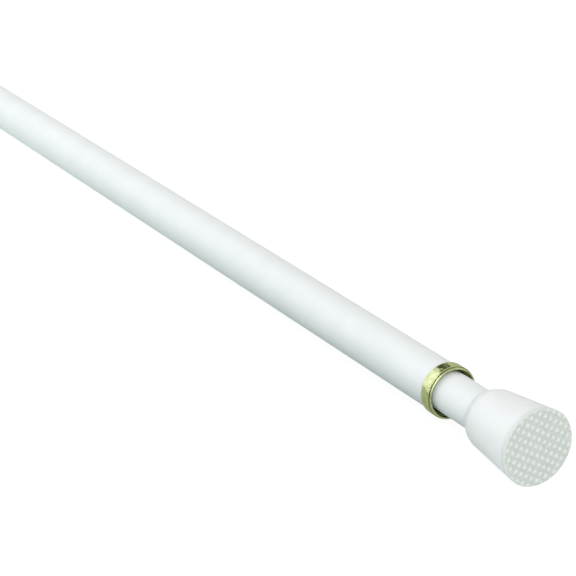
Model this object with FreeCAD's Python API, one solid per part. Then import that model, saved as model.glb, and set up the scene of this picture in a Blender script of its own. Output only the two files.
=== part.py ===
import FreeCAD, Part
import math
import os

from FreeCAD import Rotation, Vector

# Spring tension rod: a thin steel tube slides in a wider one, and a soft foot on each end
# presses against a wall. A twist lock inside the wide tube sets the length, and a coil spring
# in the narrow tube keeps the feet pressed out.
# Sizes are in millimetres. The origin is the middle of the far foot's face. +X runs along the
# rod to the near foot's face, and +Z is up.

# Whole rod, pushed in as it is sold
CLOSED_LENGTH = 457.0
NECK_LENGTH = 16.6
SPRING_TRAVEL = 16.0
TIP_SPACE = 21.3

# Tubes
OUTER_TUBE_OD = 15.9
OUTER_TUBE_WALL = 0.6
INNER_TUBE_OD = 13.4
INNER_TUBE_WALL = 0.6
CRIMP_MOUTH_WIDTH = 2.6
CRIMP_FLOOR_WIDTH = 1.2
CRIMP_DEPTH = 0.45

# Feet
FOOT_FACE_DIAMETER = 24.3
FOOT_LENGTH = 26.8
FOOT_NECK_DIAMETER = 18.3
FOOT_SHOULDER_LENGTH = 5.4
FOOT_MOUTH_LIP = 0.3
FOOT_FLOOR = 6.0

# Pips on a foot's face: what stands between two sets of crossing grooves
PIP_PITCH = 2.25
PIP_TOP_WIDTH = 0.85
PIP_BASE_WIDTH = 1.35
PIP_HEIGHT = 0.4
PIP_MARGIN = 0.25
PIP_ROW_ANGLE = 32.5
PIP_ROW_SHIFT = 0.9

# Brass ring on the wide tube's mouth
RING_OD = 17.2
RING_BAND_LENGTH = 3.8
RING_NOSE_OD = 16.8
RING_NOSE_LENGTH = 0.5
RING_BORE = 15.0
RING_MOUTH_DIAMETER = 15.7
RING_FLARE_LENGTH = 0.5
RING_LIP = 1.0
RING_CREASE_WIDTH = 0.5
RING_CREASE_DEPTH = 0.3
RING_BACK_ROUND = 0.3

# Guide bush in the narrow tube's inner end
BUSH_FLANGE_LENGTH = 3.5
BUSH_SPIGOT_LENGTH = 12.0

# Coil spring and its stop
SPRING_OD = 11.2
SPRING_WIRE = 1.2
SPRING_WIRE_SIDES = 6
SPRING_LENGTH = 55.0
SPRING_TURNS = 8.0
STOP_LENGTH = 9.0
STOP_BOSS_DIAMETER = 8.4
STOP_BOSS_LENGTH = 4.0

# Lock rod, its spring seat and its clips
ROD_THREAD_DIAMETER = 5.0
ROD_HEX_ACROSS_FLATS = 5.0
ROD_FLANGE_DIAMETER = 9.0
ROD_FLANGE_LENGTH = 1.5
ROD_TENON_DIAMETER = 3.6
SEAT_THICKNESS = 1.2
SEAT_DIAMETER = 11.4
CLIP_DIAMETER = 8.0
CLIP_THICKNESS = 0.6
CLIP_SLITS = 6
CLIP_SLIT_WIDTH = 0.5
CLIP_SLIT_DEPTH = 1.4
TENON_STAND_OUT = 0.6

# Expander, the split sleeve that grips the wide tube, and the wedge that spreads it
EXPANDER_LENGTH = 20.0
EXPANDER_RING_LENGTH = 5.0
EXPANDER_SLOTS = 4
EXPANDER_SLOT_WIDTH = 1.6
EXPANDER_GRIP_GROOVES = 4
EXPANDER_GRIP_PITCH = 2.8
EXPANDER_GRIP_DEPTH = 0.5
EXPANDER_GRIP_WIDTH = 0.9
WEDGE_LENGTH = 15.0
WEDGE_STAND_OUT = 3.0
WEDGE_BIG_DIAMETER = 12.4
WEDGE_SMALL_DIAMETER = 7.4
WEDGE_KEY_WIDTH = 1.2
WEDGE_KEY_HEIGHT = 0.8
LOOSE_TRAVEL = 1.0

# Clearances, each on one side
SLIDE_CLEARANCE = 0.08
ROD_CLEARANCE = 0.1
TAPER_CLEARANCE = 0.08
FACE_CLEARANCE = 0.05
END_CLEARANCE = 1.0

# Radii
outer_tube_r = OUTER_TUBE_OD / 2
outer_bore_r = outer_tube_r - OUTER_TUBE_WALL
inner_tube_r = INNER_TUBE_OD / 2
inner_bore_r = inner_tube_r - INNER_TUBE_WALL
rod_thread_r = ROD_THREAD_DIAMETER / 2
rod_tenon_r = ROD_TENON_DIAMETER / 2
rod_hex_corner_r = ROD_HEX_ACROSS_FLATS / math.sqrt(3)
spring_mean_r = (SPRING_OD - SPRING_WIRE) / 2

# Places along the rod: the ring from the near foot inwards, then the lock from the far foot
ring_front_x = CLOSED_LENGTH - FOOT_LENGTH - NECK_LENGTH
outer_tube_end_x = ring_front_x - RING_LIP
tip_clip_x = FOOT_FLOOR + TIP_SPACE + TENON_STAND_OUT
wedge_x = tip_clip_x + CLIP_THICKNESS + FACE_CLEARANCE + LOOSE_TRAVEL
expander_x = wedge_x + WEDGE_STAND_OUT
expander_end_x = expander_x + EXPANDER_LENGTH
flange_x = expander_end_x + FACE_CLEARANCE
bush_flange_x = flange_x + ROD_FLANGE_LENGTH + END_CLEARANCE + SPRING_TRAVEL
inner_tube_end_x = bush_flange_x + BUSH_FLANGE_LENGTH
bush_spigot_x = inner_tube_end_x + BUSH_SPIGOT_LENGTH
bush_crimp_x = inner_tube_end_x + BUSH_SPIGOT_LENGTH / 2
seat_x = bush_spigot_x + FACE_CLEARANCE
spring_x = seat_x + SEAT_THICKNESS + FACE_CLEARANCE
stop_x = spring_x + SPRING_LENGTH
stop_crimp_x = stop_x + STOP_LENGTH / 2


def line(start, end):
    """Straight edge between two (x, radius) points."""
    return Part.LineSegment(Vector(*start, 0), Vector(*end, 0)).toShape()


def arc(start, middle, end):
    """Round edge through three (x, radius) points."""
    return Part.Arc(Vector(*start, 0), Vector(*middle, 0), Vector(*end, 0)).toShape()


def turned(edges):
    """Solid turned about the rod's axis from a closed outline of edges."""
    face = Part.Face(Part.Wire(edges))
    return face.revolve(Vector(0, 0, 0), Vector(1, 0, 0), 360)


def turned_polygon(points):
    """Solid turned about the rod's axis from the corners of its half section."""
    closed = zip(points, points[1:] + points[:1])
    return turned([line(start, end) for start, end in closed])


def cylinder(x_start, x_end, radius):
    """Round bar along the rod's axis."""
    return Part.makeCylinder(radius, x_end - x_start, Vector(x_start, 0, 0), Vector(1, 0, 0))


def hexagon_bar(x_start, x_end, corner_r):
    """Six-sided bar along the rod's axis."""
    corners = []
    for index in range(7):
        angle = math.radians(60 * index)
        corners.append(Vector(x_start, corner_r * math.cos(angle), corner_r * math.sin(angle)))
    face = Part.Face(Part.makePolygon(corners))
    return face.extrude(Vector(x_end - x_start, 0, 0))


def crimp_points(crimp_x, radius):
    """Section of a rolled groove, with sloping sides, at a surface of the given radius."""
    mouth = CRIMP_MOUTH_WIDTH / 2
    floor = CRIMP_FLOOR_WIDTH / 2
    floor_r = radius - CRIMP_DEPTH
    return [
        (crimp_x - mouth, radius),
        (crimp_x - floor, floor_r),
        (crimp_x + floor, floor_r),
        (crimp_x + mouth, radius),
    ]


def radial_slot(x_start, x_end, width, inner_r, outer_r, angle):
    """Box that stands out from the axis, for a slot, a slit or a key."""
    box = Part.makeBox(x_end - x_start, width, outer_r - inner_r, Vector(x_start, -width / 2, inner_r))
    box.rotate(Vector(0, 0, 0), Vector(1, 0, 0), angle)
    return box


def make_outer_tube():
    tube = cylinder(FOOT_FLOOR, outer_tube_end_x, outer_tube_r)
    return tube.cut(cylinder(FOOT_FLOOR, outer_tube_end_x, outer_bore_r))


def make_inner_tube():
    """Narrow tube, with two rolled crimps that hold the bush and the spring's stop."""
    end_x = CLOSED_LENGTH - FOOT_FLOOR
    outside = [(inner_tube_end_x, inner_tube_r)]
    inside = [(inner_tube_end_x, inner_bore_r)]
    for crimp_x in (bush_crimp_x, stop_crimp_x):
        outside += crimp_points(crimp_x, inner_tube_r)
        inside += crimp_points(crimp_x, inner_bore_r)
    outside.append((end_x, inner_tube_r))
    inside.append((end_x, inner_bore_r))
    return turned_polygon(outside + inside[::-1])


def shoulder_arc(mouth, tangent_point, slope_angle):
    """Round shoulder from the foot's mouth that runs smoothly into its cone."""
    normal = Vector(-math.sin(slope_angle), -math.cos(slope_angle), 0)
    foot_of_arc = Vector(*tangent_point, 0)
    chord = Vector(*mouth, 0) - foot_of_arc
    radius = chord.dot(chord) / (2 * chord.dot(normal))
    centre = foot_of_arc + normal * radius
    middle = centre + (foot_of_arc + chord / 2 - centre).normalize() * radius
    return arc(mouth, (middle.x, middle.y), tangent_point)


def groove(offset, angle):
    """One groove across a foot's face, with sloping walls and a flat floor."""
    mouth = (PIP_PITCH - PIP_TOP_WIDTH) / 2
    floor = (PIP_PITCH - PIP_BASE_WIDTH) / 2
    reach = FOOT_FACE_DIAMETER
    corners = [
        Vector(0, offset - mouth, -reach),
        Vector(0, offset + mouth, -reach),
        Vector(PIP_HEIGHT, offset + floor, -reach),
        Vector(PIP_HEIGHT, offset - floor, -reach),
    ]
    face = Part.Face(Part.makePolygon(corners + corners[:1]))
    cutter = face.extrude(Vector(0, 0, 2 * reach))
    cutter.rotate(Vector(0, 0, 0), Vector(1, 0, 0), angle)
    return cutter


def face_grooves():
    """Both sets of grooves, each set at right angles to the other."""
    reach = FOOT_FACE_DIAMETER / 2
    cutters = []
    for angle, shift in ((PIP_ROW_ANGLE, PIP_ROW_SHIFT), (PIP_ROW_ANGLE + 90, 0.0)):
        count = math.ceil(reach / PIP_PITCH) + 1
        for index in range(-count, count + 1):
            offset = (index + 0.5) * PIP_PITCH + shift
            if abs(offset) < reach:
                cutters.append(groove(offset, angle))
    return cutters


def make_foot(tube_r):
    """Soft foot in the far foot's place, with a socket for a tube of the given radius."""
    face_r = FOOT_FACE_DIAMETER / 2
    pips_r = face_r - PIP_MARGIN
    neck_r = FOOT_NECK_DIAMETER / 2
    slope_angle = math.atan2(face_r - neck_r, FOOT_LENGTH - PIP_HEIGHT)
    shoulder_x = FOOT_LENGTH - FOOT_SHOULDER_LENGTH
    shoulder_r = neck_r + FOOT_SHOULDER_LENGTH * math.tan(slope_angle)
    mouth = (FOOT_LENGTH, tube_r + FOOT_MOUTH_LIP)
    edges = [
        line((0, 0), (0, pips_r)),
        line((0, pips_r), (PIP_HEIGHT, pips_r)),
        line((PIP_HEIGHT, pips_r), (PIP_HEIGHT, face_r)),
        line((PIP_HEIGHT, face_r), (shoulder_x, shoulder_r)),
        shoulder_arc(mouth, (shoulder_x, shoulder_r), slope_angle),
        line(mouth, (FOOT_LENGTH, tube_r)),
        line((FOOT_LENGTH, tube_r), (FOOT_FLOOR, tube_r)),
        line((FOOT_FLOOR, tube_r), (FOOT_FLOOR, 0)),
        line((FOOT_FLOOR, 0), (0, 0)),
    ]
    return turned(edges).cut(face_grooves()).removeSplitter()


def make_near_foot():
    foot = make_foot(inner_tube_r)
    foot.rotate(Vector(0, 0, 0), Vector(0, 0, 1), 180)
    foot.translate(Vector(CLOSED_LENGTH, 0, 0))
    return foot


def make_ring():
    """Brass ring: a flat band, a crease and a rolled nose that laps over the tube's edge."""
    band_r = RING_OD / 2
    nose_r = RING_NOSE_OD / 2
    bore_r = RING_BORE / 2
    mouth_r = RING_MOUTH_DIAMETER / 2
    flare_x = ring_front_x - RING_FLARE_LENGTH
    nose_x = ring_front_x - RING_NOSE_LENGTH
    crease_x = nose_x - RING_CREASE_WIDTH
    back_x = crease_x - RING_BAND_LENGTH
    front_r = nose_r - RING_NOSE_LENGTH
    diagonal = RING_NOSE_LENGTH * math.sqrt(0.5)
    edges = [
        line((back_x, outer_tube_r), (back_x, band_r - RING_BACK_ROUND)),
        line((back_x, band_r - RING_BACK_ROUND), (back_x + RING_BACK_ROUND, band_r)),
        line((back_x + RING_BACK_ROUND, band_r), (crease_x, band_r)),
        line((crease_x, band_r), (crease_x + RING_CREASE_WIDTH / 2, nose_r - RING_CREASE_DEPTH)),
        line((crease_x + RING_CREASE_WIDTH / 2, nose_r - RING_CREASE_DEPTH), (nose_x, nose_r)),
        arc((nose_x, nose_r), (nose_x + diagonal, front_r + diagonal), (ring_front_x, front_r)),
        line((ring_front_x, front_r), (ring_front_x, mouth_r)),
        line((ring_front_x, mouth_r), (flare_x, bore_r)),
        line((flare_x, bore_r), (outer_tube_end_x, bore_r)),
        line((outer_tube_end_x, bore_r), (outer_tube_end_x, outer_tube_r)),
        line((outer_tube_end_x, outer_tube_r), (back_x, outer_tube_r)),
    ]
    return turned(edges)


def make_guide_bush():
    """Bush that centres the narrow tube in the wide one and turns the lock rod."""
    flange_r = outer_bore_r - SLIDE_CLEARANCE
    section = [(bush_flange_x, 0), (bush_flange_x, flange_r), (inner_tube_end_x, flange_r)]
    section.append((inner_tube_end_x, inner_bore_r))
    section += crimp_points(bush_crimp_x, inner_bore_r)
    section += [(bush_spigot_x, inner_bore_r), (bush_spigot_x, 0)]
    clear_corner_r = rod_hex_corner_r + ROD_CLEARANCE * 2 / math.sqrt(3)
    return turned_polygon(section).cut(hexagon_bar(bush_flange_x, bush_spigot_x, clear_corner_r))


def make_spring():
    """Coil spring with its ends ground flat. Its wire has flat sides, to stay light."""
    pitch = SPRING_LENGTH / SPRING_TURNS
    helix = Part.makeHelix(pitch, SPRING_LENGTH + SPRING_WIRE, spring_mean_r)
    rise = math.atan2(pitch, 2 * math.pi * spring_mean_r)
    across = Vector(1, 0, 0)
    upward = Vector(0, -math.sin(rise), math.cos(rise))
    corners = []
    for index in range(SPRING_WIRE_SIDES + 1):
        angle = 2 * math.pi * (index + 0.5) / SPRING_WIRE_SIDES
        spoke = across * math.cos(angle) + upward * math.sin(angle)
        corners.append(across * spring_mean_r + spoke * (SPRING_WIRE / 2))
    coil = Part.Wire(helix).makePipeShell([Part.makePolygon(corners)], True, True)
    coil.Placement = FreeCAD.Placement(
        Vector(spring_x - SPRING_WIRE / 2, 0, 0), Rotation(Vector(0, 0, 1), Vector(1, 0, 0))
    )
    return coil.common(cylinder(spring_x, stop_x, SPRING_OD))


def make_spring_stop():
    """Plug that the spring pushes on, held by the tube's second crimp."""
    end_x = stop_x + STOP_LENGTH
    boss_x = stop_x - STOP_BOSS_LENGTH
    boss_r = STOP_BOSS_DIAMETER / 2
    section = [(boss_x, 0), (boss_x, boss_r), (stop_x, boss_r), (stop_x, inner_bore_r)]
    section += crimp_points(stop_crimp_x, inner_bore_r)
    section += [(end_x, inner_bore_r), (end_x, 0)]
    return turned_polygon(section)


def make_lock_rod():
    """Headed rod: thread and tip tenon, thrust flange, six-sided shank and seat tenon."""
    seat_end_x = seat_x + SEAT_THICKNESS + CLIP_THICKNESS + TENON_STAND_OUT
    pieces = [
        cylinder(tip_clip_x - TENON_STAND_OUT, tip_clip_x + CLIP_THICKNESS, rod_tenon_r),
        cylinder(tip_clip_x + CLIP_THICKNESS, flange_x, rod_thread_r),
        cylinder(flange_x, flange_x + ROD_FLANGE_LENGTH, ROD_FLANGE_DIAMETER / 2),
        hexagon_bar(flange_x + ROD_FLANGE_LENGTH, seat_x, rod_hex_corner_r),
        cylinder(seat_x, seat_end_x, rod_tenon_r),
    ]
    return pieces[0].multiFuse(pieces[1:]).removeSplitter()


def make_spring_seat():
    seat = cylinder(seat_x, seat_x + SEAT_THICKNESS, SEAT_DIAMETER / 2)
    return seat.cut(cylinder(seat_x, seat_x + SEAT_THICKNESS, rod_tenon_r))


def make_clip(clip_x):
    """Push-on clip: a thin disc whose slit bore bites on a tenon."""
    end_x = clip_x + CLIP_THICKNESS
    clip = cylinder(clip_x, end_x, CLIP_DIAMETER / 2)
    slit_r = rod_tenon_r + CLIP_SLIT_DEPTH
    slits = []
    for index in range(CLIP_SLITS):
        slits.append(radial_slot(clip_x, end_x, CLIP_SLIT_WIDTH, 0, slit_r, 360 * index / CLIP_SLITS))
    return clip.cut([cylinder(clip_x, end_x, rod_tenon_r)] + slits)


def wedge_taper(extra_r, x_start, x_end):
    """The wedge's cone, grown by extra_r, between two places along the rod."""
    slope = (WEDGE_BIG_DIAMETER - WEDGE_SMALL_DIAMETER) / 2 / WEDGE_LENGTH
    start_r = WEDGE_BIG_DIAMETER / 2 - slope * (x_start - wedge_x) + extra_r
    end_r = WEDGE_BIG_DIAMETER / 2 - slope * (x_end - wedge_x) + extra_r
    return turned_polygon([(x_start, 0), (x_start, start_r), (x_end, end_r), (x_end, 0)])


def make_expander():
    """Split sleeve with grip rings outside, a tapered bore and a solid ring at the flange."""
    sleeve_r = outer_bore_r - SLIDE_CLEARANCE
    ring_x = expander_end_x - EXPANDER_RING_LENGTH
    sleeve = cylinder(expander_x, expander_end_x, sleeve_r)
    cutters = [
        wedge_taper(TAPER_CLEARANCE, expander_x, ring_x),
        cylinder(ring_x, expander_end_x, rod_thread_r + ROD_CLEARANCE),
    ]
    for index in range(EXPANDER_SLOTS):
        angle = 360 * index / EXPANDER_SLOTS
        cutters.append(radial_slot(expander_x, ring_x, EXPANDER_SLOT_WIDTH, 0, sleeve_r + 1, angle))
    for index in range(EXPANDER_GRIP_GROOVES):
        groove_x = expander_x + EXPANDER_GRIP_PITCH * (index + 1)
        cutters.append(grip_groove(groove_x, sleeve_r))
    return sleeve.cut(cutters)


def grip_groove(groove_x, sleeve_r):
    """Ring that cuts one shallow groove round the expander."""
    half = EXPANDER_GRIP_WIDTH / 2
    floor_r = sleeve_r - EXPANDER_GRIP_DEPTH
    corners = [(groove_x - half, sleeve_r + 1), (groove_x + half, sleeve_r + 1)]
    corners += [(groove_x + half, floor_r), (groove_x - half, floor_r)]
    return turned_polygon(corners)


def make_wedge():
    """Threaded cone, with two keys that run in the expander's slots."""
    end_x = wedge_x + WEDGE_LENGTH
    cone = wedge_taper(0, wedge_x, end_x)
    key_r = WEDGE_BIG_DIAMETER / 2 + WEDGE_KEY_HEIGHT
    keys = [
        radial_slot(wedge_x, end_x - WEDGE_STAND_OUT, WEDGE_KEY_WIDTH, rod_thread_r + 1, key_r, angle)
        for angle in (0, 180)
    ]
    return cone.multiFuse(keys).cut(cylinder(wedge_x, end_x, rod_thread_r + ROD_CLEARANCE))


PARTS = {
    "outer_tube": make_outer_tube(),
    "trim_ring": make_ring(),
    "far_foot": make_foot(outer_tube_r),
    "inner_tube": make_inner_tube(),
    "near_foot": make_near_foot(),
    "guide_bush": make_guide_bush(),
    "spring": make_spring(),
    "spring_stop": make_spring_stop(),
    "lock_rod": make_lock_rod(),
    "spring_seat": make_spring_seat(),
    "seat_clip": make_clip(seat_x + SEAT_THICKNESS),
    "tip_clip": make_clip(tip_clip_x),
    "expander": make_expander(),
    "wedge": make_wedge(),
}

os.makedirs("parts", exist_ok=True)
for name, shape in PARTS.items():
    shape.exportStep(f"parts/{name}.step")
    print(name, shape.ShapeType, len(shape.Solids), shape.isValid(), round(shape.Volume, 1))
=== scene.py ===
import math

import bmesh
import bpy
from mathutils import Matrix, Vector


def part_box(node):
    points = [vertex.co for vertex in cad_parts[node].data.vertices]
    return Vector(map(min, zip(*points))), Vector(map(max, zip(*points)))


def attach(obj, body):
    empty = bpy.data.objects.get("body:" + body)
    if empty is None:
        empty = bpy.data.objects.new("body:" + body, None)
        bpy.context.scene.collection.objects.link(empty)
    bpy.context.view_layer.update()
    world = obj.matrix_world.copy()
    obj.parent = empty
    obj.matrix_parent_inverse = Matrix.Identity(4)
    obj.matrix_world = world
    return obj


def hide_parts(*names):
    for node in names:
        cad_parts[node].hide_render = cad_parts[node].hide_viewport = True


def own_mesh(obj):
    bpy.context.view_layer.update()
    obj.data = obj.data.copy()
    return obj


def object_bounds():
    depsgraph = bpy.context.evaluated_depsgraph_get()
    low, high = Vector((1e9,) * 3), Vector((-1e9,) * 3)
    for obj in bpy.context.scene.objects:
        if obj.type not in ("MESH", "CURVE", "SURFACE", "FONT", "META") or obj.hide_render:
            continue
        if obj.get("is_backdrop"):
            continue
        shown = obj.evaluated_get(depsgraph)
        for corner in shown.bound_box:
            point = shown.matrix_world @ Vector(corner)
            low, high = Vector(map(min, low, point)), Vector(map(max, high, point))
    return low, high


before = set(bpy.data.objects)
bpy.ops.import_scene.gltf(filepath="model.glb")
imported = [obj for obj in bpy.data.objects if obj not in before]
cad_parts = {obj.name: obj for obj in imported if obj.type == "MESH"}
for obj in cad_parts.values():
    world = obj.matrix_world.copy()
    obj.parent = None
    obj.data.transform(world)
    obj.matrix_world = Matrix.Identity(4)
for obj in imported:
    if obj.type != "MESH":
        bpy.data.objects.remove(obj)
cad_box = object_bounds()

# Lengths are in metres. The rod's axis is X, and a turned shape is a list of (x, radius) points.
MM = 0.001
ROUND_SEGMENTS = 144
EDGE_ROUND = 0.12 * MM
LONG_RUN = 6 * EDGE_ROUND
FACE_CLEARANCE = 0.05 * MM

# Tubes
OUTER_R = 15.9 / 2 * MM
INNER_R = 13.4 / 2 * MM
TUBE_WALL = 0.6 * MM
CRIMP_MOUTH = 2.6 * MM
CRIMP_FLOOR = 1.2 * MM
CRIMP_DEPTH = 0.45 * MM
CRIMP_STEPS = 12

# Brass ring, with a rounder nose and a deeper crease than the solid's
RING_R = 17.2 / 2 * MM
RING_BORE_R = 15.0 / 2 * MM
RING_MOUTH_R = 15.7 / 2 * MM
RING_FLARE = 0.5 * MM
RING_NOSE_R = 16.8 / 2 * MM
RING_NOSE_LENGTH = 0.35 * MM
RING_NOSE_STEPS = 10
RING_LIP = 1.0 * MM
RING_CREASE_WIDTH = 0.55 * MM
RING_CREASE_DEPTH = 0.42 * MM
RING_CREASE_PROFILE = ((0.15, 0.3), (0.45, 1.0), (0.55, 1.0), (0.85, 0.3))  # width, depth
RING_BACK_ROUND = 0.3 * MM
SMALL_ROUND_STEPS = 6

# Feet, with pips and rims moulded a little softer than the solids'
FACE_R = 24.3 / 2 * MM
FACE_RINGS = 100
FACE_SEGMENTS = 512
FOOT_NECK_R = 18.3 / 2 * MM
FOOT_SHOULDER = 5.4 * MM
FOOT_SHOULDER_STEPS = 16
FOOT_CONE_STEPS = 10
FOOT_MOUTH_LIP = 0.3 * MM
FOOT_FLOOR = 6.0 * MM
RIM_ROUND = 0.2 * MM
PIP_PITCH = 2.25 * MM
PIP_TOP = 0.8 * MM
PIP_BASE = 1.8 * MM
PIP_HEIGHT = 0.4 * MM
PIP_MARGIN = 0.3 * MM
PIP_ROW_ANGLE = math.radians(32.5)
PIP_ROW_SHIFT = 0.9 * MM
PIP_SQUARENESS = 3.0

# Painted shade on a foot's face, from 0 on its cone to 1 down between its pips
PIP_PAINTED_SHADE = 0.8
VALLEY_PAINTED_SHADE = 1.0
RIM_PAINTED_SHADE = 0.9
PAINTED_SHADE_START = 0.3 * PIP_BASE
PAINTED_SHADE_SPREAD = 0.4 * PIP_BASE
MARGIN_PAINTED_SHADE_CUT = 0.6

# Spring, lock rod and their neighbours
STOP_LENGTH = 9.0 * MM
BUSH_SPIGOT = 12.0 * MM
SPRING_R = 11.2 / 2 * MM
SPRING_WIRE_R = 1.2 / 2 * MM
SPRING_END_INSET = 0.2 * SPRING_WIRE_R
SPRING_TURNS = 8.0
SPRING_STEPS_PER_TURN = 44
SPRING_WIRE_SEGMENTS = 14
THREAD_R = 5.0 / 2 * MM
THREAD_PITCH = 0.8 * MM
THREAD_DEPTH = 0.45 * MM
THREAD_STEEPNESS = 1.2
THREAD_STEPS_PER_PITCH = 8
HEX_FLAT_R = 5.0 / 2 * MM
FLANGE_R = 9.0 / 2 * MM
FLANGE_LENGTH = 1.5 * MM
TENON_R = 3.6 / 2 * MM
ROD_SEGMENTS = 48

# Materials: most values of a noise lie between these two
NOISE_LOW = 0.3
NOISE_HIGH = 0.7
BRASS_WAVE_HEIGHT = 110.0  # against the turning lines' height

# Stage
WHITE = (1.0, 1.0, 1.0, 1.0)
AMBIENT = 0.56
FLOOR_HALF = 6.0

# The floor throws light back in these colours at the rod's far end, the ring and the near foot
FLOOR_FAR = (0.70, 0.80, 0.785, 1.0)
FLOOR_RING = (0.19, 0.275, 0.265, 1.0)
FLOOR_NEAR = (0.66, 0.73, 0.72, 1.0)

# The camera sees a grey that takes shadows, lifted to white by a glow
FLOOR_GREY = (0.3, 0.3, 0.3, 1.0)
FLOOR_GLOW = 0.84
FLOOR_IN_REFLECTIONS = 0.65

# Camera: place in tube diameters from the middle of the near foot's disc
CAMERA_PLACE = Vector((27.439, -21.270, 16.822))
CAMERA_FORWARD = Vector((-0.80190, 0.46888, -0.37027))
CAMERA_SENSOR = 36.0
CAMERA_LENS = 132.45


def along(node):
    """Lowest and highest x of a CAD node."""
    low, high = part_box(node)
    return low.x, high.x


outer_start, outer_end = along("outer_tube")
inner_start, inner_end = along("inner_tube")
ring_start, ring_end = along("trim_ring")
far_start, far_end = along("far_foot")
near_end = along("near_foot")[1]
stop_end = along("spring_stop")[1]
spring_start, spring_end = along("spring")
rod_start, rod_end = along("lock_rod")
tip_clip_end = along("tip_clip")[1]
seat_start = along("spring_seat")[0]
expander_end = along("expander")[1]
foot_length = far_end - far_start
spring_pitch = (spring_end - spring_start) / SPRING_TURNS


# Meshes

def add_object(name, mesh):
    """Object around a mesh, in the scene."""
    piece = bpy.data.objects.new(name, mesh)
    bpy.context.scene.collection.objects.link(piece)
    return piece


def add_sheet(name, half_width, half_height, level=0.0):
    """Flat rectangle round the Z axis, at a level."""
    x, y = half_width, half_height
    corners = [(-x, -y, level), (x, -y, level), (x, y, level), (-x, y, level)]
    mesh = bpy.data.meshes.new(name)
    mesh.from_pydata(corners, [], [(0, 1, 2, 3)])
    return add_object(name, mesh)


def object_from(bm, name, sharp_degrees):
    """Object from a bmesh, smooth but for the edges sharper than the given angle."""
    bmesh.ops.recalc_face_normals(bm, faces=bm.faces)
    mesh = bpy.data.meshes.new(name)
    bm.to_mesh(mesh)
    bm.free()
    mesh.shade_smooth()
    mesh.set_sharp_from_angle(angle=math.radians(sharp_degrees))
    return add_object(name, mesh)


def add_ring(bm, x, radius_at, segments):
    """Points round the axis at x, with radius_at giving the radius at an angle from +Y."""
    ring = []
    for index in range(segments):
        angle = 2 * math.pi * index / segments
        radius = radius_at(angle)
        ring.append(bm.verts.new((x, radius * math.cos(angle), radius * math.sin(angle))))
    return ring


def bridge(bm, first, second):
    """Faces between two closed rings with as many points."""
    count = len(first)
    for index in range(count):
        after = (index + 1) % count
        bm.faces.new((first[index], second[index], second[after], first[after]))


def held(outline):
    """Closed outline with a point close to both ends of each long run, so that it shades flat."""
    points = []
    for start, end in zip(outline, outline[1:] + outline[:1]):
        points.append(start)
        run = Vector(end) - Vector(start)
        if run.length > LONG_RUN:
            step = run.normalized() * EDGE_ROUND
            points.append(tuple(Vector(start) + step))
            points.append(tuple(Vector(end) - step))
    return points


def lathe(outline, name, painted_shade_at):
    """Hollow solid turned about X from a closed outline of (x, radius) points.

    painted_shade_at gives the vertex value, 0 or 1, at a point, that lays a painted shade on the
    material."""
    bm = bmesh.new()
    painted_shade = bm.verts.layers.float.new("painted_shade")
    rings = []
    for x, radius in held(outline):
        ring = add_ring(bm, x, lambda angle, r=radius: r, ROUND_SEGMENTS)
        for vertex in ring:
            vertex[painted_shade] = painted_shade_at(x, radius)
        rings.append(ring)
    for first, second in zip(rings, rings[1:] + rings[:1]):
        bridge(bm, first, second)
    return object_from(bm, name, sharp_degrees=30)


def arc(centre, radius, start_degrees, end_degrees, steps):
    """Points (x, radius) along an arc, with both of its ends."""
    points = []
    for step in range(steps + 1):
        angle = math.radians(start_degrees + (end_degrees - start_degrees) * step / steps)
        points.append((centre[0] + radius * math.cos(angle), centre[1] + radius * math.sin(angle)))
    return points


def smooth_step(value):
    """Rises smoothly from 0 to 1 as value does."""
    value = min(max(value, 0.0), 1.0)
    return value * value * (3 - 2 * value)


def crimp_outline(crimp_x, radius):
    """Rolled crimp in a tube, with rounded edges."""
    points = []
    for step in range(CRIMP_STEPS + 1):
        offset = CRIMP_MOUTH * (step / CRIMP_STEPS - 0.5)
        slope = (CRIMP_MOUTH / 2 - abs(offset)) / (CRIMP_MOUTH / 2 - CRIMP_FLOOR / 2)
        points.append((crimp_x + offset, radius - CRIMP_DEPTH * smooth_step(slope)))
    return points


def make_tube(start, end, radius, name, crimps=()):
    """Enamelled tube with eased ends, and an unpainted steel bore that takes a painted shade."""
    bore = radius - TUBE_WALL
    outside = [(start, radius - EDGE_ROUND), (start + EDGE_ROUND, radius)]
    inside = [(start, bore + EDGE_ROUND), (start + EDGE_ROUND, bore)]
    for crimp_x in crimps:
        outside += crimp_outline(crimp_x, radius)
        inside += crimp_outline(crimp_x, bore)
    outside += [(end - EDGE_ROUND, radius), (end, radius - EDGE_ROUND)]
    inside += [(end - EDGE_ROUND, bore), (end, bore + EDGE_ROUND)]
    # Painted shade: the bore takes the enamel's dark olive colour.
    bore_shade_below = bore + 1.5 * EDGE_ROUND
    return lathe(outside + inside[::-1], name, lambda x, r: 1.0 if r < bore_shade_below else 0.0)


def make_outer_tube():
    return make_tube(outer_start, outer_end, OUTER_R, "outer_tube_enamel")


def make_inner_tube():
    crimps = (inner_start + BUSH_SPIGOT / 2, stop_end - STOP_LENGTH / 2)
    return make_tube(inner_start, inner_end, INNER_R, "inner_tube_enamel", crimps)


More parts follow.
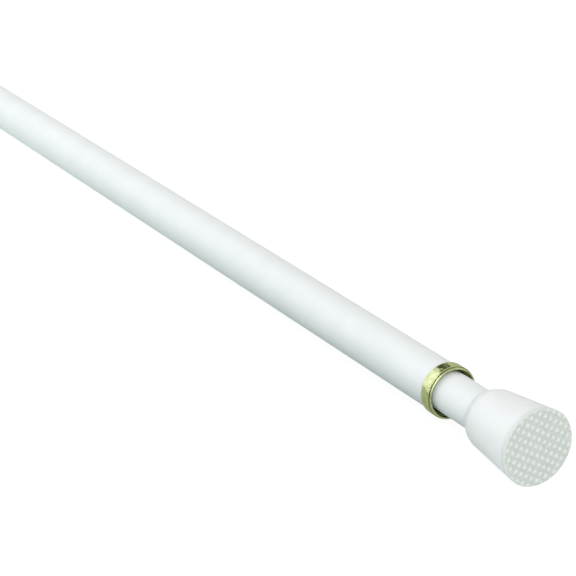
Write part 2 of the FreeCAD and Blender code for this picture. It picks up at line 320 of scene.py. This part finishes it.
def make_ring():
    """Brass ring: rolled back edge, flat band, crease, and a nose lapped over the tube's edge."""
    nose_x = ring_end - RING_NOSE_LENGTH
    crease_x = nose_x - RING_CREASE_WIDTH
    crease_bottom = RING_NOSE_R - RING_CREASE_DEPTH
    back = (ring_start + RING_BACK_ROUND, RING_R - RING_BACK_ROUND)
    outline = [(ring_start, OUTER_R)]
    outline += arc(back, RING_BACK_ROUND, 180, 90, SMALL_ROUND_STEPS)
    outline += [(crease_x - EDGE_ROUND, RING_R), (crease_x, RING_R - EDGE_ROUND / 2)]
    for width, depth in RING_CREASE_PROFILE:
        edge = RING_R if width < 0.5 else RING_NOSE_R
        x = crease_x + RING_CREASE_WIDTH * width
        outline.append((x, edge + (crease_bottom - edge) * depth))
    nose = (nose_x, RING_NOSE_R - RING_NOSE_LENGTH)
    outline += arc(nose, RING_NOSE_LENGTH, 90, 0, RING_NOSE_STEPS)
    outline += [
        (ring_end, RING_MOUTH_R),
        (ring_end - RING_FLARE, RING_BORE_R),
        (ring_end - RING_LIP, RING_BORE_R),
        (ring_end - RING_LIP, OUTER_R),
    ]

    # Painted shade: the crease and the inside of the mouth take the brass's darkest colour.
    def painted_shade_at(x, radius):
        in_crease = crease_x < x < nose_x
        in_mouth = x > ring_end - RING_LIP and radius < RING_MOUTH_R - EDGE_ROUND / 2
        return 1.0 if in_crease or in_mouth else 0.0

    return lathe(outline, "trim_ring_brass", painted_shade_at)


def pip_distance(y, z):
    """Distance from the middle of the nearest pip, in the far foot's place."""
    distance = 0.0
    for angle, shift in ((PIP_ROW_ANGLE, PIP_ROW_SHIFT), (PIP_ROW_ANGLE + math.pi / 2, 0.0)):
        across = y * math.cos(angle) + z * math.sin(angle) - shift
        off_centre = abs((across + PIP_PITCH / 2) % PIP_PITCH - PIP_PITCH / 2)
        distance += off_centre**PIP_SQUARENESS
    return distance ** (1 / PIP_SQUARENESS)


def pip_depth(y, z):
    """How far a foot's face lies below its pip tops at a point, in the far foot's place."""
    slope = (pip_distance(y, z) - PIP_TOP / 2) / (PIP_BASE / 2 - PIP_TOP / 2)
    edge = (math.hypot(y, z) - FACE_R + PIP_MARGIN) / EDGE_ROUND + 0.5
    return PIP_HEIGHT * smooth_step(max(slope, edge))


def face_painted_shade(y, z):
    """Painted shade on a foot's face at a point: most between the pips, less near the rim."""
    near_rim = smooth_step((math.hypot(y, z) - FACE_R) / PIP_MARGIN + 2)
    valley = smooth_step((pip_distance(y, z) - PAINTED_SHADE_START) / PAINTED_SHADE_SPREAD)
    return PIP_PAINTED_SHADE + (VALLEY_PAINTED_SHADE - PIP_PAINTED_SHADE) * valley * (1 - MARGIN_PAINTED_SHADE_CUT * near_rim)


def foot_outline(tube_r):
    """A foot's outline from its rim, over cone and shoulder, to the socket's floor."""
    slope = (FACE_R - FOOT_NECK_R) / (foot_length - PIP_HEIGHT)
    slope_angle = math.atan(slope)
    cone_start = PIP_HEIGHT + RIM_ROUND
    cone_end = foot_length - FOOT_SHOULDER
    tangent = Vector((cone_end, FOOT_NECK_R + slope * FOOT_SHOULDER))
    mouth = Vector((foot_length, tube_r + FOOT_MOUTH_LIP))
    normal = Vector((-math.sin(slope_angle), -math.cos(slope_angle)))
    chord = mouth - tangent
    radius = chord.length_squared / (2 * chord.dot(normal))
    centre = tangent + normal * radius
    start = math.degrees(math.atan2(*(tangent - centre).yx))
    end = math.degrees(math.atan2(*(mouth - centre).yx))
    rim = (cone_start, FACE_R - RIM_ROUND)
    points = arc(rim, RIM_ROUND, 180, 90, SMALL_ROUND_STEPS)[1:-1]
    for step in range(FOOT_CONE_STEPS):
        x = cone_start + (cone_end - cone_start) * step / FOOT_CONE_STEPS
        points.append((x, FOOT_NECK_R + slope * (foot_length - x)))
    points += arc(centre, radius, start, end, FOOT_SHOULDER_STEPS)
    points += [(foot_length, tube_r), (FOOT_FLOOR, tube_r), (FOOT_FLOOR, tube_r / 2)]
    return points


def make_foot(tube_r, name):
    """Soft foot in the far foot's place: pipped face, cone, shoulder and socket."""
    bm = bmesh.new()
    painted_shade = bm.verts.layers.float.new("painted_shade")
    hub = bm.verts.new((pip_depth(0, 0), 0, 0))
    hub[painted_shade] = VALLEY_PAINTED_SHADE
    previous = None
    for ring_index in range(1, FACE_RINGS + 1):
        radius = (FACE_R - RIM_ROUND) * ring_index / FACE_RINGS
        ring = []
        for index in range(FACE_SEGMENTS):
            angle = 2 * math.pi * index / FACE_SEGMENTS
            y = radius * math.cos(angle)
            z = radius * math.sin(angle)
            vertex = bm.verts.new((pip_depth(y, z), y, z))
            vertex[painted_shade] = face_painted_shade(y, z)
            ring.append(vertex)
        if previous is None:
            for index in range(FACE_SEGMENTS):
                bm.faces.new((hub, ring[index], ring[(index + 1) % FACE_SEGMENTS]))
        else:
            bridge(bm, previous, ring)
        previous = ring
    for x, radius in foot_outline(tube_r):
        ring = add_ring(bm, x, lambda angle, r=radius: r, FACE_SEGMENTS)
        for vertex in ring:
            # Painted shade runs from the face onto the rounded rim
            vertex[painted_shade] = RIM_PAINTED_SHADE * max(0.0, 1 - (x - PIP_HEIGHT) / (2 * RIM_ROUND))
        bridge(bm, previous, ring)
        previous = ring
    floor_centre = bm.verts.new((FOOT_FLOOR, 0, 0))
    for index in range(FACE_SEGMENTS):
        bm.faces.new((floor_centre, previous[(index + 1) % FACE_SEGMENTS], previous[index]))
    return object_from(bm, name, sharp_degrees=62)


def turn_to_near_end(piece):
    """Moves a foot's mesh from the far foot's place to the near foot's."""
    to_near = Matrix.Translation((near_end, 0, 0)) @ Matrix.Rotation(math.pi, 4, "Z")
    piece.data.transform(to_near)
    return piece


def make_spring():
    """Coil of round wire with its ends ground flat."""
    mean_r = SPRING_R - SPRING_WIRE_R
    rise = math.atan2(spring_pitch, 2 * math.pi * mean_r)
    length = spring_end - spring_start
    first = (SPRING_END_INSET + SPRING_WIRE_R) / spring_pitch
    last = (length - SPRING_END_INSET + SPRING_WIRE_R) / spring_pitch
    steps = math.ceil((last - first) * SPRING_STEPS_PER_TURN)
    bm = bmesh.new()
    previous = None
    for step in range(steps + 1):
        turns = first + (last - first) * step / steps
        angle = 2 * math.pi * turns
        outward = Vector((0, math.sin(angle), -math.cos(angle)))
        sideways = Vector((0, math.cos(angle), math.sin(angle)))
        across = Vector((math.cos(rise), 0, 0)) - sideways * math.sin(rise)
        middle_x = spring_start - SPRING_WIRE_R + spring_pitch * turns
        centre = outward * mean_r + Vector((middle_x, 0, 0))
        ring = []
        for index in range(SPRING_WIRE_SEGMENTS):
            turn = 2 * math.pi * index / SPRING_WIRE_SEGMENTS
            point = centre + (outward * math.cos(turn) + across * math.sin(turn)) * SPRING_WIRE_R
            point.x = min(max(point.x, spring_start), spring_end)
            ring.append(bm.verts.new(point))
        if previous is None:
            bm.faces.new(ring)
        else:
            bridge(bm, previous, ring)
        previous = ring
    bm.faces.new(previous)
    return object_from(bm, "spring_coil", sharp_degrees=50)


def thread_radius(x, angle):
    """Radius of the lock rod's right-hand thread."""
    phase = (x / THREAD_PITCH - angle / (2 * math.pi)) % 1.0
    ridge = abs(2 * phase - 1)
    return THREAD_R - THREAD_DEPTH * smooth_step((ridge - 0.5) * THREAD_STEEPNESS + 0.5)


def hexagon_radius(angle):
    """Radius of the six-sided shank, with a corner at angle 0."""
    return HEX_FLAT_R / math.cos(angle % (math.pi / 3) - math.pi / 6)


def make_lock_rod():
    """Headed rod in one skin: tip tenon, thread, thrust flange, six-sided shank, seat tenon."""
    flange_x = expander_end + FACE_CLEARANCE
    flange_end = flange_x + FLANGE_LENGTH
    plain_end = tip_clip_end + THREAD_PITCH / 2
    thread_length = flange_x - THREAD_PITCH / 2 - plain_end
    steps = math.ceil(thread_length / THREAD_PITCH * THREAD_STEPS_PER_PITCH)
    rings = [
        (rod_start, lambda angle: TENON_R - EDGE_ROUND),
        (rod_start + EDGE_ROUND, lambda angle: TENON_R),
        (tip_clip_end, lambda angle: TENON_R),
        (tip_clip_end, lambda angle: THREAD_R - THREAD_DEPTH),
    ]
    for step in range(steps + 1):
        x = plain_end + thread_length * step / steps
        rings.append((x, lambda angle, place=x: thread_radius(place, angle)))
    rings += [
        (flange_x, lambda angle: THREAD_R - THREAD_DEPTH),
        (flange_x, lambda angle: FLANGE_R - EDGE_ROUND),
        (flange_x + EDGE_ROUND, lambda angle: FLANGE_R),
        (flange_end - EDGE_ROUND, lambda angle: FLANGE_R),
        (flange_end, lambda angle: FLANGE_R - EDGE_ROUND),
        (flange_end, hexagon_radius),
        (seat_start, hexagon_radius),
        (seat_start, lambda angle: TENON_R),
        (rod_end - EDGE_ROUND, lambda angle: TENON_R),
        (rod_end, lambda angle: TENON_R - EDGE_ROUND),
    ]
    bm = bmesh.new()
    skins = [add_ring(bm, x, radius_at, ROD_SEGMENTS) for x, radius_at in rings]
    for first, second in zip(skins, skins[1:]):
        bridge(bm, first, second)
    bm.faces.new(skins[0])
    bm.faces.new(skins[-1])
    return object_from(bm, "lock_rod_threaded", sharp_degrees=35)


# Materials

class Nodes:
    """An emptied node tree with an output, and short names for making and linking its nodes."""

    def __init__(self, owner, output_kind="ShaderNodeOutputMaterial"):
        owner.use_nodes = True
        self.tree = owner.node_tree
        self.tree.nodes.clear()
        self.output = self.node(output_kind).inputs["Surface"]

    def node(self, kind, **constants):
        """New node, with constants on its input sockets."""
        node = self.tree.nodes.new(kind)
        for name, value in constants.items():
            node.inputs[name.replace("_", " ")].default_value = value
        return node

    def link(self, source, target):
        self.tree.links.new(source, target)

    def calculate(self, operation, first, second):
        """Result of an operation on two values, each a number or a node's output."""
        node = self.node("ShaderNodeMath")
        node.operation = operation
        for socket, value in zip(node.inputs, (first, second)):
            if isinstance(value, float):
                socket.default_value = value
            else:
                self.link(value, socket)
        return node.outputs[0]

    def mix_shaders(self, factor, first, second):
        """Shader that goes from first to second as factor goes from 0 to 1."""
        mix = self.node("ShaderNodeMixShader")
        for socket, source in zip(mix.inputs, (factor, first, second)):
            self.link(source, socket)
        return mix.outputs[0]


class Surface(Nodes):
    """A material with one main shader."""

    def __init__(self, name):
        self.material = bpy.data.materials.new(name)
        super().__init__(self.material)
        self.shader = self.node("ShaderNodeBsdfPrincipled")
        self.link(self.shader.outputs["BSDF"], self.output)
        self.place = self.node("ShaderNodeTexCoord").outputs["Object"]

    def stretched(self, *scale):
        """Object coordinates times a scale along each axis."""
        mapping = self.node("ShaderNodeMapping", Scale=scale)
        self.link(self.place, mapping.inputs["Vector"])
        return mapping.outputs["Vector"]

    def noise(self, vector, scale, detail):
        """Even grey noise, with scale in features per unit of vector."""
        noise = self.node("ShaderNodeTexNoise", Scale=scale, Detail=detail)
        self.link(vector, noise.inputs["Vector"])
        return noise.outputs["Fac"]

    def span(self, noise, low, high):
        """A noise spread over low to high."""
        spread = self.node(
            "ShaderNodeMapRange",
            From_Min=NOISE_LOW, From_Max=NOISE_HIGH, To_Min=low, To_Max=high,
        )
        self.link(noise, spread.inputs["Value"])
        return spread.outputs["Result"]

    def blend(self, factor, first, second):
        """Colour between first and second, each a colour or a node's output."""
        mix = self.node("ShaderNodeMix")
        mix.data_type = "RGBA"
        self.link(factor, mix.inputs["Factor"])
        for socket, colour in ((mix.inputs[6], first), (mix.inputs[7], second)):
            if isinstance(colour, tuple):
                socket.default_value = (*colour, 1.0)
            else:
                self.link(colour, socket)
        return mix.outputs[2]

    def painted_shade(self):
        """The vertices' painted shade value, from 0 to 1."""
        attribute = self.node("ShaderNodeAttribute")
        attribute.attribute_name = "painted_shade"
        return attribute.outputs["Fac"]

    def bump(self, height, distance):
        """Bump on the main shader, with distance in metres for a height of 1."""
        bump = self.node("ShaderNodeBump", Strength=1.0, Distance=distance)
        self.link(height, bump.inputs["Height"])
        self.link(bump.outputs["Normal"], self.shader.inputs["Normal"])

    def feed(self, **sources):
        """Nodes' outputs into the main shader's sockets."""
        for name, source in sources.items():
            self.link(source, self.shader.inputs[name.replace("_", " ")])

    def set(self, **values):
        """Constants on the main shader's own sockets."""
        for name, value in values.items():
            self.shader.inputs[name.replace("_", " ")].default_value = value


def enamel_material():
    """White powder coat: faint mottling and an orange-peel surface, over dark unpainted steel
    bores, tinted olive as painted shade and a painted reflection of the brass.
    """
    surface = Surface("white_enamel")
    cloud = surface.noise(surface.place, scale=90, detail=4)
    grain = surface.noise(surface.place, scale=900, detail=2)
    paint = surface.blend(surface.span(cloud, 0, 1), (0.80, 0.835, 0.83), (0.84, 0.87, 0.865))
    # Painted shade and painted reflection: dark unpainted steel, tinted olive where the brass
    # would reflect into the shaded bore.
    bore_shade = (0.20, 0.26, 0.11)
    surface.feed(
        Base_Color=surface.blend(surface.painted_shade(), paint, bore_shade),
        Roughness=surface.span(grain, 0.46, 0.58),
    )
    surface.bump(grain, 0.02 * MM)
    surface.set(Specular_IOR_Level=0.2)
    return surface.material


def brass_material():
    """Polished brass, slightly wavy and cloudy, with fine turning lines round the ring, and
    painted shade in its crease and mouth.
    """
    surface = Surface("polished_brass")
    lines = surface.noise(surface.stretched(9000, 250, 250), scale=1, detail=2)
    waves = surface.noise(surface.stretched(400, 800, 800), scale=1, detail=2)
    cloud = surface.noise(surface.place, scale=700, detail=3)
    polished = surface.blend(surface.span(cloud, 0, 1), (0.34, 0.385, 0.16), (0.51, 0.55, 0.29))
    # Painted shade for the crease and the mouth
    shadowed = (0.12, 0.155, 0.045)
    surface.feed(
        Base_Color=surface.blend(surface.painted_shade(), polished, shadowed),
        Roughness=surface.span(lines, 0.17, 0.27),
    )
    raised = surface.calculate("MULTIPLY", waves, BRASS_WAVE_HEIGHT)
    surface.bump(surface.calculate("ADD", raised, lines), 0.002 * MM)
    surface.set(Metallic=1.0, Specular_Tint=(0.7, 0.72, 0.6, 1.0))
    return surface.material


def vinyl_material():
    """Soft white vinyl, with a painted grey-green shade on a foot's face, most between its pips.
    """
    surface = Surface("soft_vinyl")
    cloud = surface.noise(surface.place, scale=160, detail=4)
    grain = surface.noise(surface.place, scale=1400, detail=2)
    body = surface.blend(surface.span(cloud, 0, 1), (0.825, 0.85, 0.84), (0.855, 0.878, 0.868))
    # Painted shade: the grey-green of a foot's face, deepest between the pips
    face = (0.57, 0.595, 0.56)
    surface.feed(
        Base_Color=surface.blend(surface.painted_shade(), body, face),
        Roughness=surface.span(grain, 0.5, 0.62),
    )
    surface.bump(grain, 0.015 * MM)
    surface.set(
        Specular_IOR_Level=0.35,
        Subsurface_Weight=0.6,
        Subsurface_Radius=(1.0, 1.0, 1.0),
        Subsurface_Scale=0.8 * MM,
    )
    return surface.material


def nylon_material():
    """Natural moulded nylon: off-white, slightly cloudy, with a fine grain."""
    surface = Surface("natural_nylon")
    cloud = surface.noise(surface.place, scale=220, detail=4)
    grain = surface.noise(surface.place, scale=2500, detail=2)
    surface.feed(
        Base_Color=surface.blend(
            surface.span(cloud, 0, 1), (0.72, 0.70, 0.62), (0.80, 0.79, 0.73)
        ),
        Roughness=surface.span(grain, 0.42, 0.56),
    )
    surface.bump(grain, 0.01 * MM)
    surface.set(Subsurface_Weight=0.1, Subsurface_Scale=0.5 * MM)
    return surface.material


def steel_material(name, dark, light, roughness):
    """Steel with fine lines round the axis and a cloudy tone."""
    surface = Surface(name)
    lines = surface.noise(surface.stretched(6000, 300, 300), scale=1, detail=2)
    cloud = surface.noise(surface.place, scale=500, detail=3)
    surface.feed(
        Base_Color=surface.blend(surface.span(cloud, 0, 1), dark, light),
        Roughness=surface.span(lines, *roughness),
    )
    surface.bump(lines, 0.003 * MM)
    surface.set(Metallic=1.0)
    return surface.material


def dress(piece, material):
    """Gives a new piece its material."""
    piece.data.materials.append(material)


def redress(node, material):
    """Gives a CAD node, whose mesh stays as it is, a better material."""
    for slot in node.material_slots:
        slot.link = "OBJECT"
        slot.material = material


# Stage

def seen_ray(nodes, glossy=1.0):
    """1 for camera and transmission rays, the given share for glossy rays, else 0."""
    path = nodes.node("ShaderNodeLightPath").outputs
    mirrored = nodes.calculate("MULTIPLY", path["Is Glossy Ray"], glossy)
    seen = nodes.calculate("MAXIMUM", path["Is Camera Ray"], mirrored)
    return nodes.calculate("MAXIMUM", seen, path["Is Transmission Ray"])


def make_floor(level):
    """White floor that keeps the rod's shadow and throws light back in graded colours."""
    floor = add_sheet("floor", FLOOR_HALF, FLOOR_HALF, level)
    material = bpy.data.materials.new("floor_white")
    nodes = Nodes(material)
    place = nodes.node("ShaderNodeTexCoord")
    split = nodes.node("ShaderNodeSeparateXYZ")
    nodes.link(place.outputs["Object"], split.inputs[0])
    share = nodes.node("ShaderNodeMapRange", From_Max=near_end)
    nodes.link(split.outputs["X"], share.inputs["Value"])
    shade = nodes.node("ShaderNodeValToRGB")
    nodes.link(share.outputs["Result"], shade.inputs["Fac"])
    stops = shade.color_ramp.elements
    stops[0].position, stops[0].color = far_end / near_end, FLOOR_FAR
    stops[1].position, stops[1].color = 1.0, FLOOR_NEAR
    stops.new(ring_end / near_end).color = FLOOR_RING
    diffuse = nodes.node("ShaderNodeBsdfDiffuse")
    nodes.link(shade.outputs["Color"], diffuse.inputs["Color"])
    shadowed = nodes.node("ShaderNodeBsdfDiffuse", Color=FLOOR_GREY)
    glow = nodes.node("ShaderNodeEmission", Color=WHITE, Strength=FLOOR_GLOW)
    white = nodes.node("ShaderNodeAddShader")
    nodes.link(shadowed.outputs[0], white.inputs[0])
    nodes.link(glow.outputs[0], white.inputs[1])
    seen = seen_ray(nodes, FLOOR_IN_REFLECTIONS)
    nodes.link(nodes.mix_shaders(seen, diffuse.outputs[0], white.outputs[0]), nodes.output)
    dress(floor, material)
    floor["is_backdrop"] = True


def make_world():
    """White to the camera and in reflections, and a softer even light on surfaces."""
    world = bpy.data.worlds.new("studio")
    bpy.context.scene.world = world
    nodes = Nodes(world, "ShaderNodeOutputWorld")
    even = nodes.node("ShaderNodeBackground", Color=WHITE, Strength=AMBIENT)
    white = nodes.node("ShaderNodeBackground", Color=WHITE, Strength=1.0)
    seen = seen_ray(nodes)
    nodes.link(nodes.mix_shaders(seen, even.outputs[0], white.outputs[0]), nodes.output)


def place_facing(thing, offset, target):
    """Puts an object at an offset from target, with its front towards it."""
    place = target + Vector(offset)
    thing.location = place
    thing.rotation_euler = (target - place).to_track_quat("-Z", "Y").to_euler()


def add_area_light(name, offset, target, size, power, mirrored=True):
    """Square soft light that faces target, out of the camera's sight."""
    light = bpy.data.lights.new(name, "AREA")
    light.shape = "SQUARE"
    light.size = size
    light.energy = power
    lamp = bpy.data.objects.new(name, light)
    lamp.visible_camera = False
    lamp.visible_glossy = mirrored
    bpy.context.scene.collection.objects.link(lamp)
    place_facing(lamp, offset, target)
    return lamp


def add_flag(name, offset, target, width, height, colour):
    """Dark card that faces target and shows only in reflections."""
    card = add_sheet(name, width / 2, height / 2)
    place_facing(card, offset, target)
    material = bpy.data.materials.new(name + "_dark")
    nodes = Nodes(material)
    dark = nodes.node("ShaderNodeEmission", Color=(*colour, 1.0))
    nodes.link(dark.outputs[0], nodes.output)
    dress(card, material)
    card.visible_camera = False
    card.visible_diffuse = False
    card.visible_shadow = False
    card.visible_transmission = False
    card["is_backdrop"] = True


def make_camera():
    """Camera at the photograph's angle."""
    disc_middle = Vector((near_end - PIP_HEIGHT, 0, 0))
    data = bpy.data.cameras.new("camera")
    data.sensor_width = CAMERA_SENSOR
    data.lens = CAMERA_LENS
    data.clip_start = 0.05
    data.clip_end = 50.0
    camera = bpy.data.objects.new("camera", data)
    bpy.context.scene.collection.objects.link(camera)
    camera.location = disc_middle + CAMERA_PLACE * (2 * OUTER_R)
    camera.rotation_euler = CAMERA_FORWARD.to_track_quat("-Z", "Y").to_euler()
    bpy.context.scene.camera = camera


# The object

enamel = enamel_material()
brass = brass_material()
vinyl = vinyl_material()
nylon = nylon_material()
zinc_steel = steel_material("zinc_steel", (0.50, 0.51, 0.52), (0.66, 0.67, 0.68), (0.22, 0.36))
spring_steel = steel_material("spring_steel", (0.20, 0.21, 0.23), (0.34, 0.35, 0.37), (0.28, 0.42))

PIECES = (
    (make_outer_tube(), enamel, "white_enamel", "outer_tube", "wide_half"),
    (make_ring(), brass, "polished_brass", "trim_ring", "wide_half"),
    (make_foot(OUTER_R, "far_foot_vinyl"), vinyl, "soft_vinyl", "far_foot", "wide_half"),
    (make_inner_tube(), enamel, "white_enamel", "inner_tube", "narrow_half"),
    (
        turn_to_near_end(make_foot(INNER_R, "near_foot_vinyl")),
        vinyl, "soft_vinyl", "near_foot", "narrow_half",
    ),
    (make_spring(), spring_steel, "spring_steel", "spring", "narrow_half"),
    (make_lock_rod(), zinc_steel, "zinc_steel", "lock_rod", "screw"),
)
for piece, material, slot, node, body in PIECES:
    dress(piece, material)
    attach(piece, body)
    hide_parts(node)
    if node == "spring":
        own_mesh(piece)

for node in ("guide_bush", "spring_stop", "expander", "wedge"):
    redress(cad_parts[node], nylon)
for node in ("spring_seat", "seat_clip", "tip_clip"):
    redress(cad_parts[node], zinc_steel)

# Floor, light and camera
make_floor(min(corner[2] for corner in cad_box))
make_world()
middle = Vector(((outer_start + near_end) / 2, 0, 0))
ring_middle = Vector(((ring_start + ring_end) / 2, 0, 0))
far_middle = Vector((far_end, 0, 0))
add_area_light("key", (1.2, -0.62, 0.62), middle, size=1.0, power=12.9)
add_area_light("fill", (-0.9, -0.85, 0.12), ring_middle, size=0.8, power=2.8, mirrored=False)
add_area_light("back", (-0.45, 1.3, 0.55), middle, size=1.0, power=1.8, mirrored=False)
add_area_light("overhead", (0, 0, 0.42), far_middle, size=0.35, power=0.4, mirrored=False)
reflection = add_area_light("reflection", (-0.9, -0.54, 0.43), ring_middle, size=1.42, power=6.3)
reflection.data.color = (1.0, 0.965, 1.33)
reflection.visible_diffuse = False
add_flag("flag", (-0.75, 0.25, 0.61), ring_middle, 0.5, 0.42, (0.03, 0.06, 0.0))
add_flag("side_flag", (-0.1, 0.9, 0.2), ring_middle, 0.7, 0.5, (0.36, 0.38, 0.33))
make_camera()
bpy.context.scene.view_settings.view_transform = "Standard"

boxes = {"cad": cad_box, "visual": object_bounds()}
{name: [list(corner) for corner in box] for name, box in boxes.items()}
